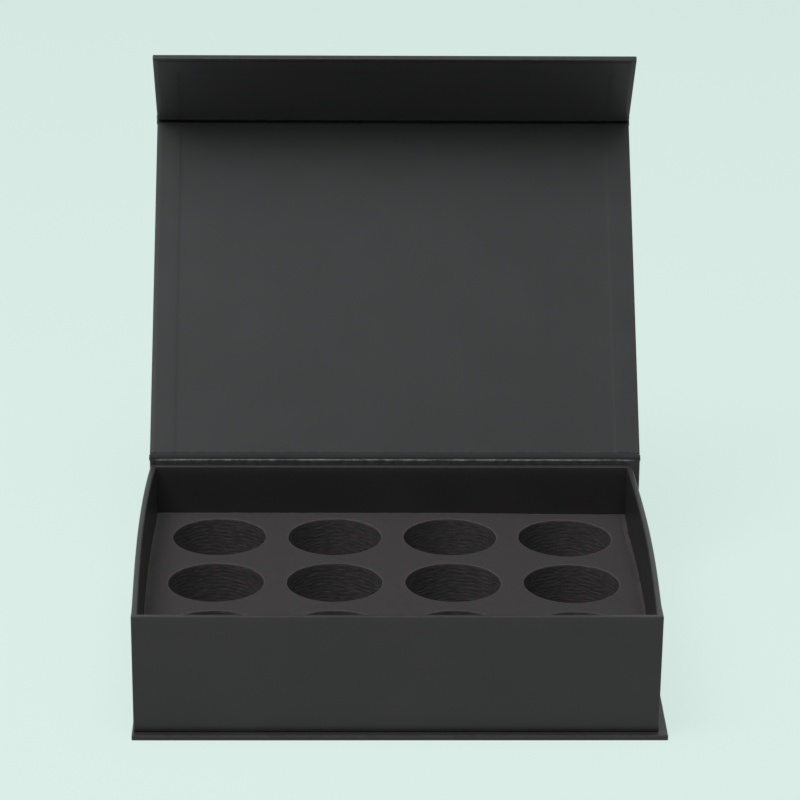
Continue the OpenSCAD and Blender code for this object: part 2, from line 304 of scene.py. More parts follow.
def foamMaterial(name, s):
    material, tree, surface, coords = startMaterial(name)
    cells = cellsOf(tree, coords, s["cellScale"])
    grain = noiseOf(tree, coords, s["grainScale"], 4, 0.65)
    patches = noiseOf(tree, coords, s["patchScale"], 3)
    streaks = noiseOf(tree, stretchedCoords(tree, coords, s["streakScale"]), 1, 3, 0.6)
    color = colorMix(tree, rangeOf(tree, grain, 0.30, 0.72, 0, 1), s["dark"], s["light"])
    color = colorMix(tree, rangeOf(tree, patches, 0.3, 0.8, 0, 0.3), color, s["dark"])
    # the streaks show where the surface is steep, on the cut walls of the pockets; their lighter colour is a
    # painted highlight along the cutter's ripples, which the bump also shapes
    facing = tree.nodes.new("ShaderNodeSeparateXYZ")
    tree.links.new(tree.nodes.new("ShaderNodeTexCoord").outputs["Normal"], facing.inputs[0])
    steep = rangeOf(tree, facing.outputs["Z"], 0.75, 0.45, 0, 1)
    line = product(tree, steep, rangeOf(tree, streaks, 0.44, 0.64, 0.22, 0.8))
    color = colorMix(tree, line, color, s["streakHighlight"])
    edge = tree.nodes.new("ShaderNodeAttribute")
    edge.attribute_name = "foldWearAndGlint"
    sharp = rangeOf(tree, edge.outputs["Fac"], 0.55, 1, 0, 1)
    cut = product(tree, sharp, rangeOf(tree, grain, 0.35, 0.65, 0.3, 0.7))
    color = colorMix(tree, cut, color, s["edge"])
    tree.links.new(color, surface.inputs["Base Color"])
    normal = bumpOf(tree, streaks, s["streakDepth"])
    normal = bumpOf(tree, grain, s["grainDepth"], normal)
    normal = bumpOf(tree, cells, s["cellDepth"], normal)
    tree.links.new(normal, surface.inputs["Normal"])
    tree.links.new(rangeOf(tree, cells, 0, 0.8, *s["rough"]), surface.inputs["Roughness"])
    surface.inputs["Specular IOR Level"].default_value = s["sheen"]
    return material


# Materials of the hidden pieces

hiddenFinish = {
    "board": {
        "dark": (0.19, 0.18, 0.165),
        "light": (0.33, 0.31, 0.285),
        "fibreScale": (900, 1500, 1500),
        "fleckScale": 1300,
        "rough": (0.86, 0.94),
        "depth": 0.04 * mm,
    },
    "tape": {
        "dark": (0.30, 0.19, 0.10),
        "light": (0.46, 0.32, 0.19),
        "fibreScale": (500, 500, 2600),
        "fleckScale": 1300,
        "rough": (0.76, 0.84),
        "depth": 0.015 * mm,
    },
    "nickel": {
        "dark": (0.52, 0.52, 0.53),
        "light": (0.66, 0.66, 0.67),
        "scratchScale": (400, 3000, 3000),
        "rough": (0.22, 0.38),
        "depth": 0.004 * mm,
    },
}


def fibreMaterial(name, s):
    # greyboard and kraft tape: pressed fibres with darker flecks
    material, tree, surface, coords = startMaterial(name)
    fibre = noiseOf(tree, stretchedCoords(tree, coords, s["fibreScale"]), 1, 4, 0.7)
    fleck = noiseOf(tree, coords, s["fleckScale"], 2)
    color = colorMix(tree, rangeOf(tree, fibre, 0.35, 0.65, 0, 1), s["dark"], s["light"])
    color = colorMix(tree, rangeOf(tree, fleck, 0.66, 0.74, 0, 0.7), color, s["dark"])
    tree.links.new(color, surface.inputs["Base Color"])
    tree.links.new(bumpOf(tree, fibre, s["depth"]), surface.inputs["Normal"])
    tree.links.new(rangeOf(tree, fleck, 0.3, 0.7, *s["rough"]), surface.inputs["Roughness"])
    return material


def nickelMaterial(name, s):
    material, tree, surface, coords = startMaterial(name)
    scratch = noiseOf(tree, stretchedCoords(tree, coords, s["scratchScale"]), 1, 3)
    color = colorMix(tree, rangeOf(tree, scratch, 0.3, 0.7, 0, 1), s["dark"], s["light"])
    tree.links.new(color, surface.inputs["Base Color"])
    tree.links.new(rangeOf(tree, scratch, 0.3, 0.7, *s["rough"]), surface.inputs["Roughness"])
    tree.links.new(bumpOf(tree, scratch, s["depth"]), surface.inputs["Normal"])
    surface.inputs["Metallic"].default_value = 1
    return material


wrapPaper = paperMaterial("satinBlackWrap", wrapFinish)
liningPaper = paperMaterial("mattBlackLining", liningFinish)
blackFoam = foamMaterial("blackCutFoam", foamFinish)
greyBoard = fibreMaterial("recycledGreyBoard", hiddenFinish["board"])
kraftTape = fibreMaterial("kraftStayTape", hiddenFinish["tape"])
nickel = nickelMaterial("nickelPlate", hiddenFinish["nickel"])
print("materials made")


# Small tools for meshes

mergeDistance = 0.002 * mm
wearAndGlintFrom = math.radians(4)      # the bend at which a fold's wear and painted glint begin
wearAndGlintOver = math.radians(14)     # and how much more bend brings it to its full


def spread(low, high, step):
    count = max(1, round(abs(high - low) / step))
    return [low + (high - low) * i / count for i in range(count + 1)]


def smooth(t):
    t = min(1.0, max(0.0, t))
    return t * t * (3 - 2 * t)


def ripple(a, b, scale, seed=0.0):
    # calm unevenness between -1 and 1, scale in waves a metre
    return noise.noise(Vector((a * scale, b * scale, seed)))


def roundCorners(points, radius, steps):
    # a 2-D line through the points, its inner corners rounded with arcs
    line = [points[0]]
    for before, corner, after in zip(points, points[1:], points[2:]):
        toBefore, toAfter = (before - corner).normalized(), (after - corner).normalized()
        half = toBefore.angle(toAfter) / 2
        centre = corner + (toBefore + toAfter).normalized() * (radius / math.sin(half))
        first = (corner + toBefore * (radius / math.tan(half)) - centre).normalized()
        last = (corner + toAfter * (radius / math.tan(half)) - centre).normalized()
        line += [centre + first.slerp(last, i / steps) * radius for i in range(steps + 1)]
    return line + [points[-1]]


def setWearAndGlint(bm, most):
    # the fold attribute is highest where a vertex lies on a tight fold, 0 on flat paper; it drives rubbed
    # wear and a painted glint along folded edges
    layer = bm.verts.layers.float.new("foldWearAndGlint")
    for v in bm.verts:
        bends = [e.calc_face_angle(0) for e in v.link_edges if len(e.link_faces) == 2]
        v[layer] = most * smooth((max(bends, default=0) - wearAndGlintFrom) / wearAndGlintOver)


def gridPiece(name, grids, material, facing, sharpest=40, wearAndGlint=0.2):
    # one mesh from grids of points that share their edges; facing is a point and the way its face looks
    bm = bmesh.new()
    for grid in grids:
        rows = [[bm.verts.new(p) for p in row] for row in grid]
        for a, b in zip(rows, rows[1:]):
            for i in range(len(a) - 1):
                bm.faces.new((a[i], b[i], b[i + 1], a[i + 1]))
    bmesh.ops.remove_doubles(bm, verts=bm.verts, dist=mergeDistance)
    bmesh.ops.recalc_face_normals(bm, faces=bm.faces)
    probe = min(bm.faces, key=lambda f: (f.calc_center_median() - facing[0]).length)
    if probe.normal.dot(facing[1]) < 0:
        bmesh.ops.reverse_faces(bm, faces=bm.faces)
    setWearAndGlint(bm, wearAndGlint)
    for f in bm.faces:
        f.smooth = True
    for e in bm.edges:
        e.smooth = len(e.link_faces) == 2 and e.calc_face_angle(0) < math.radians(sharpest)
    mesh = bpy.data.meshes.new(name)
    bm.to_mesh(mesh)
    bm.free()
    mesh.materials.append(material)
    piece = bpy.data.objects.new(name, mesh)
    bpy.context.scene.collection.objects.link(piece)
    return piece


def thicken(piece, thickness):
    # the sheet grows inwards from its shown face
    solid = piece.modifiers.new("paperThickness", "SOLIDIFY")
    solid.thickness = thickness
    solid.offset = -1
    solid.use_quality_normals = True


def standFor(piece, nodeName, body):
    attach(piece, body)
    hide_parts(nodeName)


# Wrapped panels: one sheet folded round a board's edges, with mitred corners at a turned end

panelFold = {
    "paper": 0.2 * mm,
    "turnIn": 11.7 * mm,
    "fold": 0.4 * mm,          # outer radius of the folds
    "corner": 0.5 * mm,        # radius of the corners seen from above
    "middle": 14 * mm,         # where the folded border meets the plain face
    "step": 6 * mm,
    "arcSteps": 5,
    "wave": 0.04 * mm,         # how far the faces are from dead flat
    "covered": 2.9 * mm,       # how far in from the sides the paper also goes over a board's end
    "capInset": 0.08 * mm,
}


def foldedSection(s, outer):
    # a folded side from the turn-in's edge outwards, then the outer face's points
    side = [Vector((s["covered"], panelDepth)), Vector((0, panelDepth)), *outer]
    return [Vector((s["turnIn"], panelDepth))] + roundCorners(side, s["fold"], s["arcSteps"])


def endCaps(place, half, along, inward, s):
    # inward is 1 where the board goes on after the end, -1 where it comes before it
    low = 1.5 * s["paper"]
    points = [p for p in foldedSection(s, [Vector((0, 0))]) if p.x <= s["covered"] * 1.01 and p.y > low]
    back = along + inward * s["capInset"]
    steps = ((along, 0), (back, 0.08), (back, 0.5), (back, 1))      # place, and share of the depth
    return [
        [[place(side * (half - p.x), at, p.y + (low - p.y) * part) for p in points] for at, part in steps]
        for side in (-1, 1)
    ]


def wrapGrids(place, half, stations, end, s):
    # stations run from the open end; with an end given, the sheet is turned in there too
    section = foldedSection(s, [Vector((0, 0)), Vector((s["middle"], 0))])

    def raised(x, along, depth):
        if min(depth, panelDepth - depth) > s["fold"] / 2:
            return place(x, along, depth)
        wave = s["wave"] * (0.5 + 0.5 * ripple(x, along, 30))
        return place(x, along, depth + wave if depth < panelDepth / 2 else depth - wave)

    def sideRow(side, along):
        return [raised(side * (half - inset), along, depth) for inset, depth in section]

    def cornerRow(side, angle):
        row = []
        for inset, depth in section:
            x, y = half - inset, end - inset
            if inset < s["corner"]:
                left = s["corner"] - inset
                x = half - s["corner"] + left * math.cos(angle)
                y = end - s["corner"] + left * math.sin(angle)
            row.append(raised(side * x, y, depth))
        return row

    across = spread(s["middle"] - half, half - s["middle"], s["step"])
    left, right = ([sideRow(side, along) for along in stations] for side in (-1, 1))
    face = [[raised(x, along, 0) for x in across] for along in stations]
    if end is None:
        return [left, right, face]
    arc = [math.radians(90) * i / s["arcSteps"] for i in range(s["arcSteps"] + 1)]
    ring = left + [cornerRow(-1, a) for a in arc]
    ring += [[raised(x, end - inset, depth) for inset, depth in section] for x in across]
    ring += [cornerRow(1, a) for a in reversed(arc)] + right[::-1]
    return [ring, face]


def makeLidWrap(s):
    stations = spread(lidStart, lidEnd, s["step"])
    grids = wrapGrids(onLid, halfCase, stations, None, s)
    grids += endCaps(onLid, halfCase, lidStart, 1, s) + endCaps(onLid, halfCase, lidEnd, -1, s)
    piece = gridPiece("lidWrapPaper", grids, wrapPaper, (onLid(0, lidEnd / 2, 0), -lidIn))
    thicken(piece, s["paper"])
    standFor(piece, "lid_wrap", "lid")


def makeFlapWrap(s):
    stations = spread(flapStart, flapEnd - s["middle"], s["step"])
    grids = wrapGrids(onFlap, halfCase, stations, flapEnd, s) + endCaps(onFlap, halfCase, flapStart, 1, s)
    piece = gridPiece("flapWrapPaper", grids, wrapPaper, (onFlap(0, flapEnd / 2, 0), -flapIn))
    thicken(piece, s["paper"])
    standFor(piece, "flap_wrap", "flap")


caseFold = {**panelFold, "creaseTail": 1 * mm, "rearSteps": 10}


def makeCaseWrap(s):
    # from the crease down the spine, round the bottom rear corner and forward to the front edge
    top = lidPoint.z - s["creaseTail"]
    radius = panelDepth
    drop = top - radius
    arcLength = radius * math.pi / 2
    end = drop + arcLength + spineTurnY - caseLow.y

    def place(x, along, depth):
        if along <= drop:
            return Vector((x, caseHigh.y - depth, top - along))
        if along < drop + arcLength:
            angle = (along - drop) / radius
            left = radius - depth
            return Vector((x, spineTurnY + left * math.cos(angle), radius - left * math.sin(angle)))
        return Vector((x, spineTurnY - (along - drop - arcLength), depth))

    stations = spread(0, drop, s["step"]) + spread(drop, drop + arcLength, arcLength / s["rearSteps"])[1:]
    stations += spread(drop + arcLength, end - s["middle"], s["step"])[1:]
    grids = wrapGrids(place, halfCase, stations, end, s)
    # above the crease's tail only the spine's folded sides go on
    section = foldedSection(s, [Vector((0, s["fold"]))])
    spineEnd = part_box("spine_lining")[1].z - s["capInset"] / 2
    for side in (-1, 1):
        grids.append([
            [Vector((side * (halfCase - inset), caseHigh.y - depth, z)) for inset, depth in section]
            for z in (top, spineEnd)
        ])
    grids += endCaps(onSpine, halfCase, spineEnd - lidPoint.z, -1, s)
    piece = gridPiece("caseWrapPaper", grids, wrapPaper, (Vector((0, 0, 0)), Vector((0, 0, -1))))
    thicken(piece, s["paper"])
    standFor(piece, "case_wrap", "root")


makeLidWrap(panelFold)
makeFlapWrap(panelFold)
makeCaseWrap(caseFold)
print("wrapped panels made")


# Linings: a sheet that lies on the turn-ins, sinks to the board in the middle and folds over bare ends

liningSheet = {
    "paper": 0.2 * mm,
    "border": 2.4 * mm,        # bare wrap left at the sides
    "endBorder": 2 * mm,       # and at the flap's free end
    "turnIn": 11.7 * mm,
    "ridge": 0.9 * mm,         # how softly it comes down from the turn-in
    "fold": 0.55 * mm,
    "flat": 4 * mm,            # flat stretch beside a fold
    "arcSteps": 6,
    "step": 5 * mm,
    "wave": 0.035 * mm,
    "foldWobble": 0.07 * mm,
}


def liningStations(low, high, edges, s):
    # evenly spread, with more lines where the sheet steps down
    extra = [e + s["ridge"] * k for e in edges for k in (-1, -0.5, 0, 0.5, 1)]
    plain = [v for v in spread(low, high, s["step"]) if all(abs(v - e) > s["ridge"] * 1.3 for e in edges)]
    return sorted({low, high} | {v for v in plain + extra if low + mm / 10 < v < high - mm / 10})


def liningGrid(place, start, end, startDrop, endDrop, turnedEnd, seed, s):
    # startDrop and endDrop say how far the sheet folds down at its ends, or 0
    half = halfCase - s["border"]
    sideEdge = halfCase - s["turnIn"]
    endEdge = [turnedEnd - s["turnIn"]] if turnedEnd else []
    path = [Vector((a, 0)) for a in liningStations(start, end, endEdge, s)]
    if startDrop:
        corner = [Vector((start, startDrop)), Vector((start, 0)), Vector((start + s["flat"], 0))]
        bend = roundCorners(corner, s["fold"], s["arcSteps"])
        path = bend[:-1] + [p for p in path if p.x > start + s["fold"] * 1.2]
    if endDrop:
        corner = [Vector((end - s["flat"], 0)), Vector((end, 0)), Vector((end, endDrop))]
        bend = roundCorners(corner, s["fold"], s["arcSteps"])
        path = [p for p in path if p.x < end - s["fold"] * 1.2] + bend[1:]
    columns = liningStations(-half, half, [-sideEdge, sideEdge], s)

    def level(x, along):
        over = smooth((abs(x) - sideEdge) / (2 * s["ridge"]) + 0.5)
        if turnedEnd:
            over = max(over, smooth((along - endEdge[0]) / (2 * s["ridge"]) + 0.5))
        return panelDepth + s["paper"] * over + s["wave"] * ripple(x, along, 45, seed)

    rows = []
    for along, drop in path:
        near = 0
        if startDrop:
            near = max(near, 1 - (along - start) / (3 * s["fold"]))
        if endDrop:
            near = max(near, 1 - (end - along) / (3 * s["fold"]))
        wobble = s["foldWobble"] * max(0, near)
        row = []
        for x in columns:
            shift, lift = wobble * ripple(x, seed, 160, seed), wobble * ripple(x, 0, 230, seed + 5)
            row.append(place(x, along + shift, level(x, along) - drop + lift))
        rows.append(row)
    return rows


def makeLinings(s):
    fullDrop = panelDepth - s["paper"]
    lidRows = liningGrid(onLid, lidStart, lidEnd, fullDrop, fullDrop, None, 1.0, s)
    lid = gridPiece("lidLiningPaper", [lidRows], liningPaper, (onLid(0, lidEnd / 2, panelDepth), lidIn))
    thicken(lid, s["paper"])
    standFor(lid, "lid_lining", "lid")
    flapRows = liningGrid(onFlap, flapStart, flapEnd - s["endBorder"], fullDrop, 0, flapEnd, 2.0, s)
    flap = gridPiece("flapLiningPaper", [flapRows], liningPaper, (onFlap(0, flapEnd / 2, panelDepth), flapIn))
    thicken(flap, s["paper"])
    standFor(flap, "flap_lining", "flap")
    low, high = (v.z - lidPoint.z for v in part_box("spine_lining"))
    spineRows = liningGrid(onSpine, low, high, 0, fullDrop, None, 3.0, s)
    facing = (onSpine(0, -20 * mm, panelDepth), spineIn)
    # the spine lining's top fold gets the full lighter fold colour: a painted glint along its front edge,
    # with rubbed wear
    spine = gridPiece("spineLiningPaper", [spineRows], liningPaper, facing, wearAndGlint=1)
    thicken(spine, s["paper"])
    standFor(spine, "spine_lining", "root")


makeLinings(liningSheet)
print("linings made")


# Creases: both papers glued together, bent about the joint's axis

creaseSheet = {
    "paper": 0.2 * mm,
    "ear": 0.4 * mm,           # how far the folded wrap stands out at the sides
    "border": 2.4 * mm,        # bare wrap beside the lining
    "bend": 1.5 * mm,          # half the length of the bent stretch
    "steps": 22,
    "columns": 3 * mm,
    "wobble": 0.05 * mm,
    "tail": 1 * mm,            # how far the crease's wrap goes down the spine
    "hang": ((1.00 * mm, 0.02 * mm), (1.25 * mm, 0.10 * mm), (1.15 * mm, 0.75 * mm), (0.80 * mm, 1.70 * mm)),
    "hangRows": 20,
    "sideGap": 0.15 * mm,
    "tuck": 0.15 * mm,         # how far the hanging lining goes in under the lid's
}


def finishCrease(piece, nodeName, bodies, first, last, s):
    thicken(piece, s["paper"])
    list(bodies)
    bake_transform(piece)
    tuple(first)
    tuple(last)
    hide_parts(nodeName)


def makeHangingLining(s):
    # (depth in from the spine's back, height over the spine's lining)
    foot = Vector((0, caseHigh.y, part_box("spine_lining")[1].z))
    edge = onLid(0, lidStart, panelDepth) + lidRun * s["tuck"]
    head = Vector((caseHigh.y - edge.y, edge.z - foot.z))
    line = [Vector((a, b)) for a, b in s["hang"]] + [head]
    rows = []
    for k in range(s["hangRows"] + 1):
        t = k / s["hangRows"] * (len(line) - 1)
        index = min(int(t), len(line) - 2)
        depth, height = line[index].lerp(line[index + 1], t - index)
        calm = math.sin(math.pi * k / s["hangRows"])
        rows.append([
            foot + Vector((x, -depth - calm * s["wobble"] * ripple(x, depth, 190, 7), height))
            for x in spread(s["sideGap"] - halfCase, halfCase - s["sideGap"], s["columns"])
        ])
    facing = (rows[s["hangRows"] // 2][len(rows[0]) // 2], Vector((0, -1, 0)))
    piece = gridPiece("lidCreaseLining", [rows], liningPaper, facing, 70, 0)
    first, last = foot - Vector((0, line[0].x, 0)), foot + Vector((0, -head.x, head.y))
    finishCrease(piece, "lid_crease_lining", ("root", "lid"), first, last, s)


def makeCrease(name, nodeName, bodies, point, run, inward, turn, low, high, ply, halfWidth, material,
               s):
    # ply is how deep the sheet lies under the wrap's outer face
    def direction(along):
        return turned(run, inward, turn * smooth(0.5 + along / (2 * s["bend"])))

    def at(x, along, depth):
        runHere, inHere = direction(along)
        return Vector((x, 0, 0)) + point + runHere * along + inHere * (outerDepth + depth)

    rows = []
    for along in spread(low, high, (high - low) / s["steps"]):
        calm = smooth(1 - abs(along) / (1.2 * s["bend"]))
        rows.append([
            at(x, along, ply + calm * s["wobble"] * (0.6 + 0.5 * ripple(x, along, 190, 7)))
            for x in spread(-halfWidth, halfWidth, s["columns"])
        ])
    runMid, inMid = turned(run, inward, turn / 2)
    facing = (at(0, 0, ply), -inMid if ply == 0 else inMid)
    piece = gridPiece(name, [rows], material, facing, 60)
    middle = Vector((0, point.y, point.z))
    first, last = (middle + runMid * (at(0, k * s["bend"], ply) - middle).dot(runMid) for k in (-1, 1))
    finishCrease(piece, nodeName, bodies, first, last, s)


def makeCreases(s):
    toLid, toFlap = ("root", "lid"), ("lid", "flap")
    wide, narrow = halfCase + s["ear"], halfCase - s["border"]
    flapGap = lidEnd - flapAxis
    makeCrease("lidCreaseWrap", "lid_crease_wrap", toLid, lidPoint, spineRun, spineIn, lidTurn,
               -s["tail"], lidStart, 0, wide, wrapPaper, s)
    makeHangingLining(s)
    makeCrease("flapCreaseWrap", "flap_crease_wrap", toFlap, flapPoint, lidRun, lidIn, flapTurn,
               flapGap, flapStart, 0, wide, wrapPaper, s)
    makeCrease("flapCreaseLining", "flap_crease_lining", toFlap, flapPoint, lidRun, lidIn, flapTurn,
               flapGap, flapStart, 2 * s["paper"], narrow, liningPaper, s)


makeCreases(creaseSheet)
print("creases made")


# The tray's wrap: up the bowed walls, over the rim and down inside

trayFold = {
    "paper": 0.2 * mm,
    "wall": 2.55 * mm,         # a wall with its papers
    "clearance": 0.1 * mm,     # between the floor's lining and the walls
    "innerTurn": 30 * mm,
    "underTurn": 15 * mm,
    "fold": 0.5 * mm,
    "corner": 0.6 * mm,
    "step": 5 * mm,
    "arcSteps": 5,
    "bowPeak": (0.4, 0.5),     # where the left and right walls bow most, from the rear
    "stretches": 12,           # straight stretches of a bowed board
    "boardGap": 0.05 * mm,     # how far the paper keeps in from them
    "soften": 0.25 * mm,       # how softly a bow leaves the straight wall
    "flare": (0.25 * mm, 0.55 * mm),      # how far the front corners lean out at the rim
    "flareStart": 0.6,         # share of the wall's length, from the rear
    "besideCorner": (1.4 * mm, 4 * mm),
    "stillFoot": 2 * mm,       # the walls are flat up to here
    "wave": 0.05 * mm,
}


def trayPlan(s):
    # the tray's outline at its floor, before its walls bow
    floorLow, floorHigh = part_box("tray_floor_lining")
    margin = s["wall"] - s["paper"] + s["clearance"]
    return Vector((floorLow.x - margin, trayLow.y)), Vector((floorHigh.x + margin, trayHigh.y))


def wallBow(side, y, z, s, inner=False):
    # how far the left or right wall stands out there; its inner paper lies on the board's straight stretches
    low, high = trayPlan(s)
    size, peak = (low.x - trayLow.x, trayHigh.x - high.x)[side], s["bowPeak"][side]
    part = min(1, max(0, (high.y - y) / (high.y - low.y)))
    up = min(1, max(0, (z - trayLow.z) / (trayHigh.z - trayLow.z)))

    def bowAt(t):
        return math.sin(math.pi * t ** (math.log(0.5) / math.log(peak)))

    if inner:
        count = s["stretches"]
        k = min(int(part * count), count - 1)
        a, b = bowAt(k / count), bowAt((k + 1) / count)
        return max(0, size * (a + (b - a) * (part * count - k) - (1 - up)) - s["boardGap"])
    out = size * (bowAt(part) - (1 - up))
    flare = s["flare"][side] * up * smooth((part - s["flareStart"]) / (1 - s["flareStart"]))
    return max((out + math.hypot(out, s["soften"])) / 2, flare)


def makeTrayWrap(s):
    low, high = trayPlan(s)
    height = trayHigh.z - trayLow.z

    def face(inset):
        # the sheet's section, as far inside its shown face as said
        return roundCorners([
            Vector((s["underTurn"], trayLow.z + inset)), Vector((inset, trayLow.z + inset)),
            Vector((inset, trayHigh.z - inset)), Vector((s["wall"] - inset, trayHigh.z - inset)),
            Vector((s["wall"] - inset, trayHigh.z - s["innerTurn"]))], s["fold"] - inset, s["arcSteps"])

    section = face(0) + face(s["paper"])[::-1] + face(0)[:1]
    line = [section[0]]
    for a, b in zip(section, section[1:]):
        line += [a.lerp(b, k) for k in spread(0, 1, s["step"] / max((b - a).length, s["step"]))[1:]]

    corners = [Vector((low.x, high.y)), low, Vector((high.x, low.y)), high]
    rows = []
    for index, corner in enumerate(corners):
        after = corners[(index + 1) % 4]
        run = (after - corner).normalized()
        inward = Vector((-run.y, run.x))
        back = -inward
        length = (after - corner).length
        # the rounded corner itself, then the straight wall that follows it
        for k in range(s["arcSteps"] + 1):
            angle = math.radians(90) * k / s["arcSteps"]
            out = (-run * math.cos(angle) + back * math.sin(angle))
            rows.append([
                (corner + (run + inward) * inset if inset >= s["corner"] else
                 corner + (run + inward) * s["corner"] + out * (s["corner"] - inset), z, None, inset)
                for inset, z in line
            ])
        close, far = s["besideCorner"]
        near = [s["corner"], close, s["wall"], far]
        inner = spread(1.5 * far, length - 1.5 * far, s["step"])
        for q in near + inner + [length - v for v in reversed(near)]:
            rows.append([
                (corner + run * min(max(q, inset), length - inset) + inward * inset, z, index, inset)
                for inset, z in line
            ])
    rows.append(rows[0])

    def finished(flat, z, wallIndex, inset):
        x, y = flat
        middle = (low.x + high.x) / 2
        side = 0 if x < middle else 1
        atEdge = abs(x - (low.x, high.x)[side]) < s["wall"] * 1.2
        out = (-1, 1)[side] * wallBow(side, y, z, s, inset > s["wall"] / 2)
        if wallIndex in (0, 2) or (wallIndex is None and atEdge):
            x += out
        else:
            # the front and rear walls reach out to the leaning corners
            x += out * smooth(abs(x - middle) / (high.x - middle))
        if wallIndex in (1, 3) and trayLow.z + s["stillFoot"] < z:
            y += s["wave"] * ripple(x, z, 25, 9)
        return Vector((x, y, z))

    grid = [[finished(*point) for point in row] for row in rows]
    facing = (Vector(((low.x + high.x) / 2, low.y, trayLow.z + height / 2)), Vector((0, -1, 0)))
    piece = gridPiece("trayWrapPaper", [grid], wrapPaper, facing, 50, 0.08)
    standFor(piece, "tray_wrap", "root")


makeTrayWrap(trayFold)
print("tray wrap made")


# The foam insert: a sawn block with punched pockets whose walls keep the cutter's ripples

foamBlock = {
    "pocket": 43 * mm,
    "lip": 0.45 * mm,          # how far the edges are broken
    "lipSteps": 3,
    "perSide": 24,             # points along each side of the block that surrounds a pocket
    "rings": 7,
    "wallRows": 64,
    "ripple": 0.07 * mm,
    "ripplePitch": 1.9 * mm,
    "drift": (2.2, 0.5),       # how far the ripples wander up and down, in pitches
    "driftScale": (1.6, 7),
    "roughTop": 0.06 * mm,
    "sag": 0.65 * mm,          # the right end lies a little lower
    "sagFrom": 20 * mm,
    "sagOver": 70 * mm,
}


def makeFoam(s):
    low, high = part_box("foam_insert")
    boxes = [o["box_m"] for o in frame["record"]["physics"]["openings"] if o["name"][-1].isdigit()]
    centres = [Vector(((a[0] + b[0]) / 2, (a[1] + b[1]) / 2)) for a, b in boxes]
    xs, ys = (sorted({round(c[k], 6) for c in centres}) for k in (0, 1))
    xEdges = [low.x] + [(a + b) / 2 for a, b in zip(xs, xs[1:])] + [high.x]
    yEdges = [low.y] + [(a + b) / 2 for a, b in zip(ys, ys[1:])] + [high.y]
    n, radius, lip = s["perSide"], s["pocket"] / 2, s["lip"]
    slow, quick = s["drift"]
    slowScale, quickScale = s["driftScale"]

    def topAt(x, y):
        sunk = s["sag"] * smooth((x - s["sagFrom"]) / s["sagOver"])
        edge = min(x - low.x, high.x - x, y - low.y, high.y - y)
        broken = lip * (1 - math.sqrt(max(0, 1 - (1 - min(1, edge / lip)) ** 2)))
        rough = s["roughTop"] * (ripple(x, y, 260, 4) + 0.8 * ripple(x, y, 700, 5))
        return high.z - lip * 0.3 - sunk - broken + rough

    def spreadOut(p, z):
        # beyond the outer pockets the foam presses outwards against the bowed walls
        side = 0 if p.x < (low.x + high.x) / 2 else 1
        inner = (xs[0] - radius - lip, xs[-1] + radius + lip)[side]
        part = (p.x - inner) / ((low.x, high.x)[side] - inner)
        return Vector((p.x + (-1, 1)[side] * max(0, part) * wallBow(side, p.y, z, trayFold, True), p.y, z))

    def boundary(x0, x1, y0, y1):
        corners = [Vector((x1, y0)), Vector((x1, y1)), Vector((x0, y1)), Vector((x0, y0))]
        return [corners[k // n].lerp(corners[(k // n + 1) % 4], k % n / n) for k in range(4 * n)]

    grids = []
    for i, cx in enumerate(xs):
        for j, cy in enumerate(ys):
            rim = boundary(xEdges[i], xEdges[i + 1], yEdges[j], yEdges[j + 1])
            ways = [math.radians(-45 + 90 * k / n) for k in range(4 * n)]
            circle = [Vector((math.cos(a), math.sin(a))) for a in ways]
            centre = Vector((cx, cy))
            rows = []
            for ring in range(s["rings"], 0, -1):
                part = (ring / s["rings"]) ** 1.4
                row = [(centre + d * (radius + lip)).lerp(e, part) for d, e in zip(circle, rim)]
                rows.append([spreadOut(p, topAt(*p)) for p in row])
            for step in range(s["lipSteps"] + 1):
                angle = math.radians(90) * step / s["lipSteps"]
                out = radius + lip * (1 - math.sin(angle))
                row = [centre + d * out for d in circle]
                rows.append([Vector((*p, topAt(*p) - lip * (1 - math.cos(angle)))) for p in row])
            for depth in spread(0, 1, 1 / s["wallRows"])[1:]:
                row = []
                for d, a in zip(circle, ways):
                    rimZ = topAt(*(centre + d * radius)) - lip
                    z = rimZ + (low.z - rimZ) * depth
                    drift = slow * ripple(d.x + 3 * i, d.y + 3 * j, slowScale, 11)
                    drift += quick * ripple(d.x, d.y, quickScale, 12)
                    phase = 2 * math.pi * (z / s["ripplePitch"] + drift)
                    strength = 0.55 + 0.45 * ripple(d.x * 3 + i, z * 90 + j, 1, 13)
                    out = radius + s["ripple"] * strength * math.sin(phase) * min(1, depth * 12) - lip * 0.1
                    row.append(Vector((*(centre + d * out), z)))
                rows.append(row)
            rows.append([spreadOut(e, low.z) for e in rim])
            grids.append([row + row[:1] for row in rows])
    grids.append(foamSides(xEdges, yEdges, n, low, topAt, spreadOut))
    facing = (Vector((xEdges[2], yEdges[1], high.z)), Vector((0, 0, 1)))
    piece = gridPiece("foamInsert", grids, blackFoam, facing, 60, 1)
    standFor(piece, "foam_insert", "root")


def foamSides(xEdges, yEdges, n, low, topAt, spreadOut):
    # the block's outer walls, between the rim points of the blocks around the pockets
    def between(edges):
        return [a + (b - a) * k / n for a, b in zip(edges, edges[1:]) for k in range(n)] + [edges[-1]]

    xs, ys = between(xEdges), between(yEdges)
    around = [Vector((x, ys[0])) for x in xs] + [Vector((xs[-1], y)) for y in ys[1:]]
    around += [Vector((x, ys[-1])) for x in reversed(xs[:-1])]
    around += [Vector((xs[0], y)) for y in reversed(ys[:-1])]
    return [
        [spreadOut(p, topAt(*p) + (low.z - topAt(*p)) * part) for p in around]
        for part in spread(0, 1, 0.2)
    ]


makeFoam(foamBlock)
print("foam made")


# The nodes that stay as they are

for nodeName, node in cadNodes.items():
    if nodeName.endswith("board"):
        finish = greyBoard
    elif nodeName.startswith("corner_tape"):
        finish = kraftTape
    elif "magnet" in nodeName:
        finish = nickel
    else:
        finish = liningPaper
    node.data.materials.clear()
    node.data.materials.append(finish)


# Floor, light and surroundings

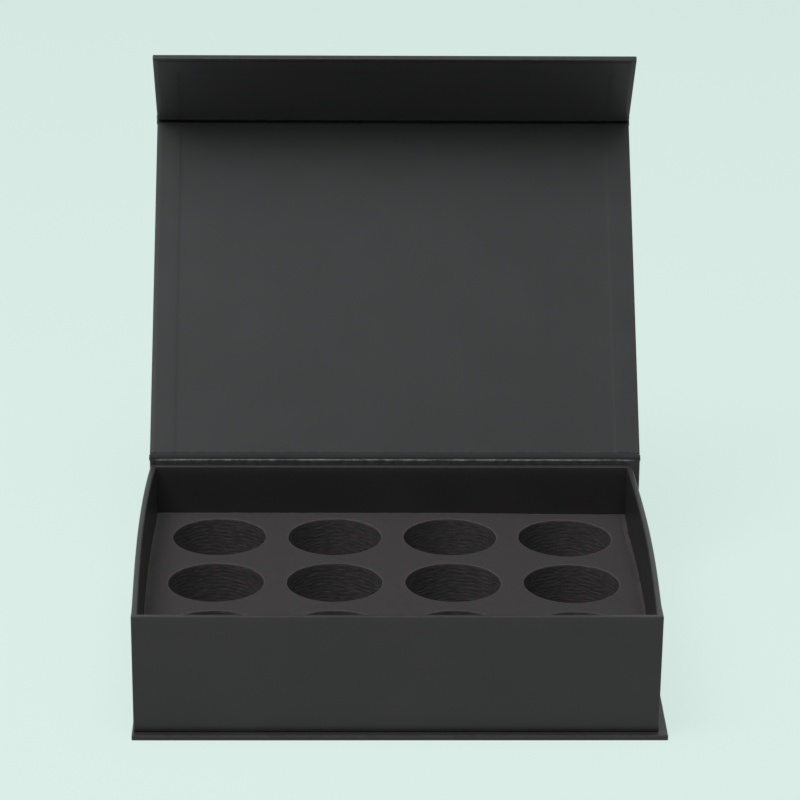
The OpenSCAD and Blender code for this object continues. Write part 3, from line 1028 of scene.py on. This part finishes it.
studio = {
    "backdrop": (0.701, 0.847, 0.799),
    "floorSize": 40,
    "bounce": (0.80, 0.80, 0.79),
    "shadowShare": 0.16,       # how much of the floor's look comes from the light
    "plainShare": 0.85,
    "overhead": 0.5,           # light from straight above, less towards the horizon
    "falloff": 3,
    "top": {
        "place": (-0.30, -0.55, 2.5),
        "aim": (0, 0.05, 0.1),
        "size": (2.4, 2.0),
        "power": 53,
        "glossy": False,
    },
    "side": {
        "place": (-0.55, -0.25, 1.05),
        "aim": (0, 0, 0.12),
        "size": (0.4, 0.5),
        "power": 2.0,
        "glossy": True,
    },
}


def makeFloor(s):
    bm = bmesh.new()
    bmesh.ops.create_grid(bm, x_segments=1, y_segments=1, size=s["floorSize"] / 2)
    mesh = bpy.data.meshes.new("studioFloor")
    bm.to_mesh(mesh)
    bm.free()
    floor = bpy.data.objects.new("studioFloor", mesh)
    bpy.context.scene.collection.objects.link(floor)
    material = bpy.data.materials.new("paleFloor")
    material.use_nodes = True
    tree = material.node_tree
    tree.nodes.clear()
    output = tree.nodes.new("ShaderNodeOutputMaterial")
    lit = tree.nodes.new("ShaderNodeBsdfDiffuse")
    plain = tree.nodes.new("ShaderNodeEmission")
    plain.inputs["Color"].default_value = (*s["backdrop"], 1)
    # the camera sees the plain colour with a soft shadow, and the box gets neutral light back
    lit.inputs["Color"].default_value = (*s["bounce"], 1)
    seen = backdropRays(tree)
    shade = tree.nodes.new("ShaderNodeBsdfDiffuse")
    total = tree.nodes.new("ShaderNodeAddShader")
    share = tree.nodes.new("ShaderNodeMixShader")
    shade.inputs["Color"].default_value = (*(c * s["shadowShare"] for c in s["backdrop"]), 1)
    plain.inputs["Strength"].default_value = s["plainShare"]
    tree.links.new(shade.outputs[0], total.inputs[0])
    tree.links.new(plain.outputs[0], total.inputs[1])
    tree.links.new(seen, share.inputs["Fac"])
    tree.links.new(lit.outputs[0], share.inputs[1])
    tree.links.new(total.outputs[0], share.inputs[2])
    tree.links.new(share.outputs[0], output.inputs["Surface"])
    mesh.materials.append(material)


def backdropRays(tree):
    # 1 for camera, glossy and transmission rays, 0 for the rest
    path = tree.nodes.new("ShaderNodeLightPath")
    total = path.outputs["Is Camera Ray"]
    for name in ("Is Glossy Ray", "Is Transmission Ray"):
        node = tree.nodes.new("ShaderNodeMath")
        node.operation = "MAXIMUM"
        tree.links.new(total, node.inputs[0])
        tree.links.new(path.outputs[name], node.inputs[1])
        total = node.outputs[0]
    return total


def makeWorld(s):
    world = bpy.data.worlds.new("studioWorld")
    bpy.context.scene.world = world
    world.use_nodes = True
    tree = world.node_tree
    background = tree.nodes["Background"]
    way = tree.nodes.new("ShaderNodeSeparateXYZ")
    tree.links.new(tree.nodes.new("ShaderNodeTexCoord").outputs["Generated"], way.inputs[0])
    rise = tree.nodes.new("ShaderNodeMath")
    rise.operation = "POWER"
    tree.links.new(rangeOf(tree, way.outputs["Z"], 0, 1, 0, 1), rise.inputs[0])
    rise.inputs[1].default_value = s["falloff"]
    sky = colorMix(tree, rise.outputs[0], (0, 0, 0), (s["overhead"],) * 3)
    tree.links.new(colorMix(tree, backdropRays(tree), sky, s["backdrop"]), background.inputs["Color"])
    background.inputs["Strength"].default_value = 1


def makeLight(name, s):
    data = bpy.data.lights.new(name, "AREA")
    data.shape = "RECTANGLE"
    data.size, data.size_y = s["size"]
    data.energy = s["power"]
    light = bpy.data.objects.new(name, data)
    light.location = s["place"]
    light.rotation_euler = (Vector(s["aim"]) - Vector(s["place"])).to_track_quat("-Z", "Y").to_euler()
    light.visible_glossy = s["glossy"]
    bpy.context.scene.collection.objects.link(light)


makeFloor(studio)
makeWorld(studio)
makeLight("topLight", studio["top"])
makeLight("sideLight", studio["side"])
bpy.context.scene.view_settings.view_transform = "Standard"
print("studio made")
